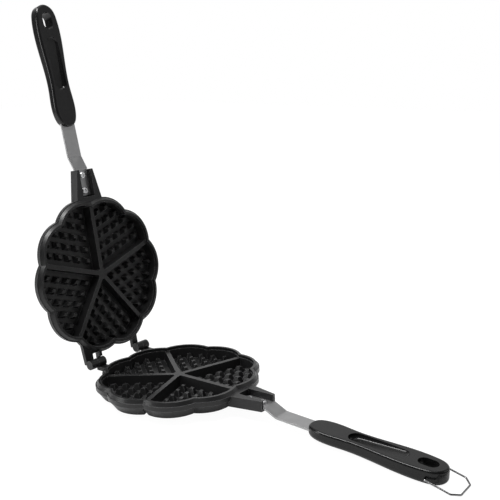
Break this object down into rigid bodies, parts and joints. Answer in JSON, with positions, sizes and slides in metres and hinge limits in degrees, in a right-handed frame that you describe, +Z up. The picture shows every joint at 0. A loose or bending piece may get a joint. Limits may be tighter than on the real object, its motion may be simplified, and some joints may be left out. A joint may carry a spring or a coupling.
{
  "type": "stovetop waffle pan",
  "caption": "Hinged stovetop waffle pan of two cast plates with heart-shaped pegged cells, each on a bent steel strap with a long plastic grip, and a wire hanging loop.",
  "frame": {"origin": "centre of the whole open pan in plan, on the table it stands on", "axes": "+X from the hinge towards the end of the lower handle, +Y along the hinge, away from the viewer, +Z up from the table"},
  "size_m": [0.5716, 0.192, 0.4399],
  "materials": {
    "coated_casting": "matte black non-stick coating",
    "strap_steel": "satin",
    "screw_steel": "bright",
    "grip_plastic": "satin black phenolic",
    "loop_wire": "polished"
  },
  "bodies": {
    "lower_half": {"lower_plate": "coated_casting", "lower_strap": "strap_steel", "lower_strap_screw_inner": "screw_steel", "lower_strap_screw_outer": "screw_steel", "lower_grip": "grip_plastic", "lower_grip_screw": "screw_steel"},
    "upper_half": {"upper_plate": "coated_casting", "upper_strap": "strap_steel", "upper_strap_screw_inner": "screw_steel", "upper_strap_screw_outer": "screw_steel", "upper_grip": "grip_plastic", "upper_grip_screw": "screw_steel", "hinge_pin_near": "screw_steel", "hinge_pin_far": "screw_steel"},
    "loop": {"hanging_loop": "loop_wire"}
  },
  "joints": [
    {"name": "plate_hinge", "type": "hinge", "parent": "lower_half", "child": "upper_half", "pos_m": [-0.16687, 0, 0.01814], "axis": [0, 1, 0], "range_deg": [0, 97.5]},
    {"name": "loop_pivot", "type": "hinge", "parent": "lower_half", "child": "loop", "pos_m": [0.25252, 0, 0.00738], "axis": [0, 1, 0], "range_deg": [-172, 154]}
  ]
}
